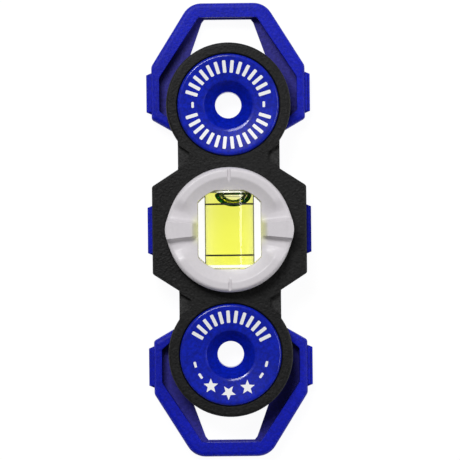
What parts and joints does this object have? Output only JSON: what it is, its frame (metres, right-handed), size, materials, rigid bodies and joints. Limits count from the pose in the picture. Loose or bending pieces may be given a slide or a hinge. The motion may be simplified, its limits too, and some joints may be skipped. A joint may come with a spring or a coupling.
{
  "type": "magnetic stud finder",
  "caption": "Magnetic stud finder with pencil holes through its magnet heads, hanging loops and a turning bubble-level dial.",
  "frame": {"origin": "middle of the back, on the plane of the back pads, on the dial's axis", "axes": "+Z out of the front along the dial's axis, +Y along the body to the upper head, +X across the body"},
  "size_m": [0.0506, 0.1398, 0.0187],
  "materials": {
    "blue_plastic": "fine moulded texture",
    "blue_disc": "satin",
    "black_plastic": "fine moulded texture",
    "pale_plastic": "satin",
    "magnet_metal": "nickel plated",
    "plate_steel": "zinc plated",
    "screw_steel": "zinc plated",
    "pad_foam": "matt",
    "ring_rubber": "matt",
    "white_ink": "satin ink",
    "vial_acrylic": "clear",
    "vial_liquid": "clear yellow green liquid",
    "plug_plastic": "satin",
    "black_ink": "satin ink"
  },
  "bodies": {
    "housing": {"rear_frame": "blue_plastic", "front_body": "black_plastic", "upper_disc": "blue_disc", "lower_disc": "blue_disc", "upper_magnet": "magnet_metal", "lower_magnet": "magnet_metal", "upper_flux_plate": "plate_steel", "lower_flux_plate": "plate_steel", "upper_pad": "pad_foam", "lower_pad": "pad_foam", "frame_screws": "screw_steel", "upper_print": "white_ink", "lower_print": "white_ink"},
    "dial": {"dial_front": "pale_plastic", "dial_rear": "pale_plastic", "friction_ring": "ring_rubber", "dial_screws": "screw_steel", "vial_tube": "vial_acrylic", "vial_fluid": "vial_liquid", "vial_plug": "plug_plastic", "vial_lines": "black_ink"}
  },
  "joints": [
    {"name": "dial_turn", "type": "hinge", "parent": "housing", "child": "dial", "pos_m": [0, 0, 0], "axis": [0, 0, 1], "continuous": true}
  ]
}
